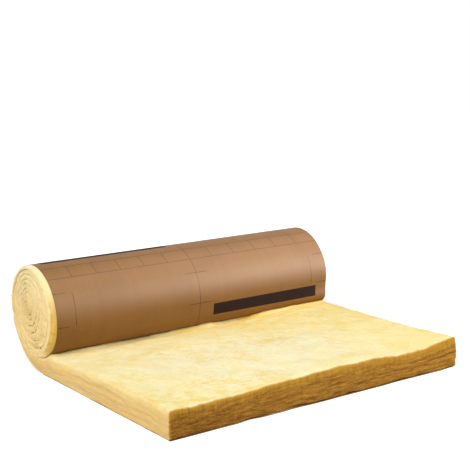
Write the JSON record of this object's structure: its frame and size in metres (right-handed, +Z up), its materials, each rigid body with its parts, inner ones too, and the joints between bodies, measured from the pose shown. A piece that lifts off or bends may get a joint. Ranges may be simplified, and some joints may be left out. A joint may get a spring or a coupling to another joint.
{
  "type": "insulation roll",
  "caption": "Partly unrolled roll of glass wool insulation with a kraft paper facing: a wound roll whose free run lies flat, paper side down, for lining roofs and walls.",
  "frame": {"origin": "middle of the base: the centre of the bounding box's underside, on the floor that the free run lies on", "axes": "+X along the free run, from the roll towards the free end; +Y along the roll's axis; +Z up"},
  "size_m": [1.075, 1.2, 0.3869],
  "materials": {
    "wool": "soft matte fibres, pale yellow",
    "kraft": "matte brown paper with a faint sheen and thin printed cutting lines"
  },
  "bodies": {
    "root": {"wool_mat": "wool", "kraft_facing": "kraft"}
  },
  "joints": []
}
